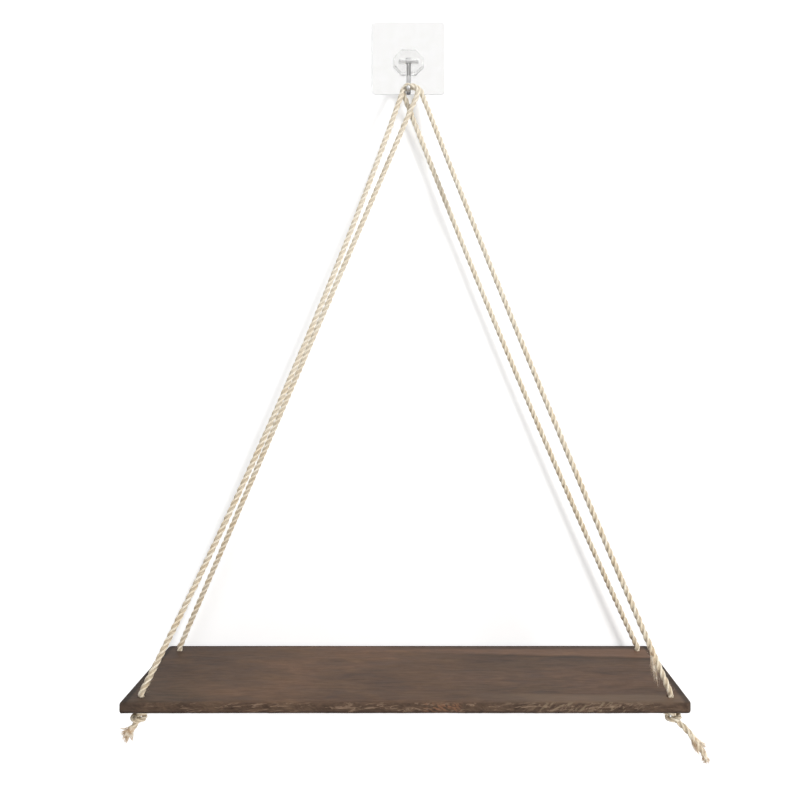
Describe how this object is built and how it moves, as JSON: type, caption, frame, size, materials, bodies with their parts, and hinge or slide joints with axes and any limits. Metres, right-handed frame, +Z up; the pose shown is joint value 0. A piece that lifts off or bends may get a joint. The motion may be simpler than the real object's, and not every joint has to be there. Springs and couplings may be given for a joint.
{
  "type": "hanging rope wall shelf",
  "caption": "Wooden board hung on two knotted jute ropes that lean together over a steel wire hook on a clear self-adhesive wall pad.",
  "frame": {"origin": "centre of the adhesive film's back face, where the wall pad lies on the wall", "axes": "+X to the right as seen from the room, +Y into the wall, +Z up"},
  "size_m": [0.4144, 0.1253, 0.5637],
  "materials": {
    "wood": "dark stained, matt",
    "jute": "natural twisted fibre",
    "clear_plastic": "clear, polished",
    "adhesive": "clear, tacky",
    "steel": "bright plated"
  },
  "bodies": {
    "wall_plate": {"adhesive_film": "adhesive", "backing_plate": "clear_plastic", "hook_base": "clear_plastic"},
    "hook": {"cross_pin": "steel", "wire_hook": "steel"},
    "sling_top": {"left_rope_crown": "jute", "right_rope_crown": "jute"},
    "shelf": {"board": "wood", "front_left_rope": "jute", "rear_left_rope": "jute", "front_right_rope": "jute", "rear_right_rope": "jute", "front_left_knot": "jute", "rear_left_knot": "jute", "front_right_knot": "jute", "rear_right_knot": "jute"}
  },
  "joints": [
    {"name": "hook_swing", "type": "hinge", "parent": "wall_plate", "child": "hook", "pos_m": [0, -0.00405, -0.004], "axis": [-1, 0, 0], "range_deg": [0, 90]},
    {"name": "shelf_sway", "type": "hinge", "parent": "hook", "child": "sling_top", "pos_m": [0, -0.0109, -0.0306], "axis": [0, 1, 0], "range_deg": [-8, 8]},
    {"name": "shelf_swing", "type": "hinge", "parent": "sling_top", "child": "shelf", "pos_m": [0, -0.0109, -0.0306], "axis": [-1, 0, 0], "range_deg": [0, 50]}
  ]
}
